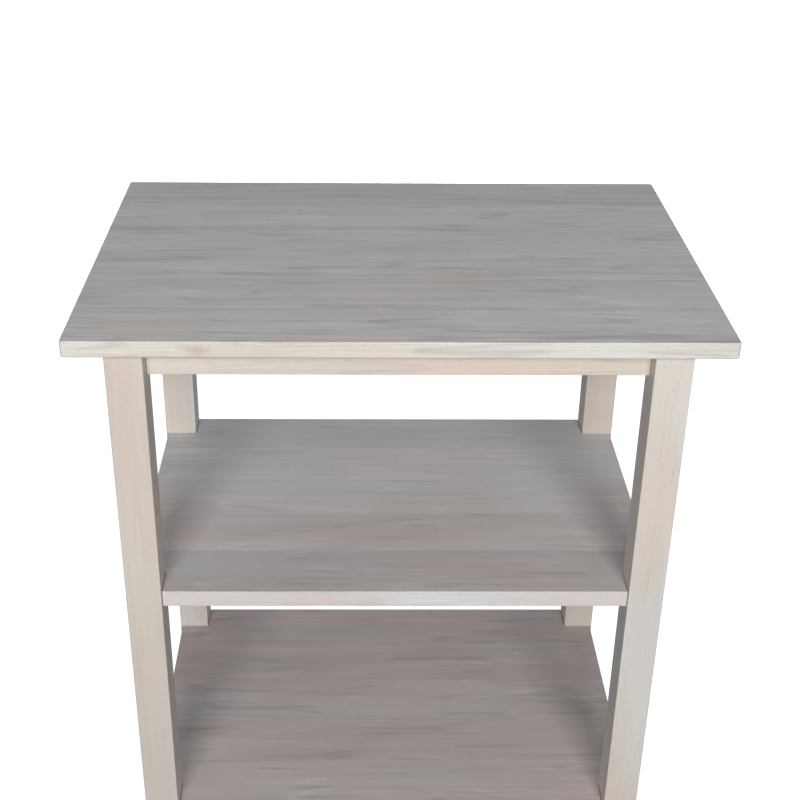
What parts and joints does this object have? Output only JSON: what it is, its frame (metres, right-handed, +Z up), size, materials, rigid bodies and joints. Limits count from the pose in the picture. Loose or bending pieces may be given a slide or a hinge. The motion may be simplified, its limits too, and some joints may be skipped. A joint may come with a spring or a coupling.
{
  "type": "butcher block table",
  "caption": "Free-standing wooden work table with a glued butcher block top on straight square legs, a low apron and open storage shelves notched round the legs.",
  "frame": {"origin": "on the floor, under the centre of the top", "axes": "+Z up, +X to the right along the top's long side, +Y to the back; the front is the -Y side"},
  "size_m": [0.762, 0.508, 0.9144],
  "materials": {
    "worktop_wood": "raw sanded hardwood, straight grain along the length",
    "shelf_wood": "raw sanded hardwood, straight grain along the length",
    "leg_wood": "raw sanded hardwood, straight upright grain",
    "apron_wood": "raw sanded hardwood, straight grain along the length",
    "block_wood": "sawn hardwood",
    "zinc_steel": "bright zinc plating",
    "glide_nylon": "natural nylon"
  },
  "bodies": {
    "root": {"front_apron": "apron_wood", "front_left_corner_block": "block_wood", "front_left_glide": "glide_nylon", "front_left_leg": "leg_wood", "front_left_leg_bolt": "zinc_steel", "front_left_leg_nut": "zinc_steel", "front_left_lower_shelf_bolt": "zinc_steel", "front_left_lower_shelf_nut": "zinc_steel", "front_left_middle_shelf_bolt": "zinc_steel", "front_left_middle_shelf_nut": "zinc_steel", "front_left_top_screw": "zinc_steel", "front_right_corner_block": "block_wood", "front_right_glide": "glide_nylon", "front_right_leg": "leg_wood", "front_right_leg_bolt": "zinc_steel", "front_right_leg_nut": "zinc_steel", "front_right_lower_shelf_bolt": "zinc_steel", "front_right_lower_shelf_nut": "zinc_steel", "front_right_middle_shelf_bolt": "zinc_steel", "front_right_middle_shelf_nut": "zinc_steel", "front_right_top_screw": "zinc_steel", "left_apron": "apron_wood", "lower_shelf_stave_1": "shelf_wood", "lower_shelf_stave_2": "shelf_wood", "lower_shelf_stave_3": "shelf_wood", "lower_shelf_stave_4": "shelf_wood", "lower_shelf_stave_5": "shelf_wood", "middle_shelf_stave_1": "shelf_wood", "middle_shelf_stave_2": "shelf_wood", "middle_shelf_stave_3": "shelf_wood", "middle_shelf_stave_4": "shelf_wood", "middle_shelf_stave_5": "shelf_wood", "rear_apron": "apron_wood", "rear_left_corner_block": "block_wood", "rear_left_glide": "glide_nylon", "rear_left_leg": "leg_wood", "rear_left_leg_bolt": "zinc_steel", "rear_left_leg_nut": "zinc_steel", "rear_left_lower_shelf_bolt": "zinc_steel", "rear_left_lower_shelf_nut": "zinc_steel", "rear_left_middle_shelf_bolt": "zinc_steel", "rear_left_middle_shelf_nut": "zinc_steel", "rear_left_top_screw": "zinc_steel", "rear_right_corner_block": "block_wood", "rear_right_glide": "glide_nylon", "rear_right_leg": "leg_wood", "rear_right_leg_bolt": "zinc_steel", "rear_right_leg_nut": "zinc_steel", "rear_right_lower_shelf_bolt": "zinc_steel", "rear_right_lower_shelf_nut": "zinc_steel", "rear_right_middle_shelf_bolt": "zinc_steel", "rear_right_middle_shelf_nut": "zinc_steel", "rear_right_top_screw": "zinc_steel", "right_apron": "apron_wood", "top_stave_1": "worktop_wood", "top_stave_2": "worktop_wood", "top_stave_3": "worktop_wood", "top_stave_4": "worktop_wood", "top_stave_5": "worktop_wood", "top_stave_6": "worktop_wood"}
  },
  "joints": []
}
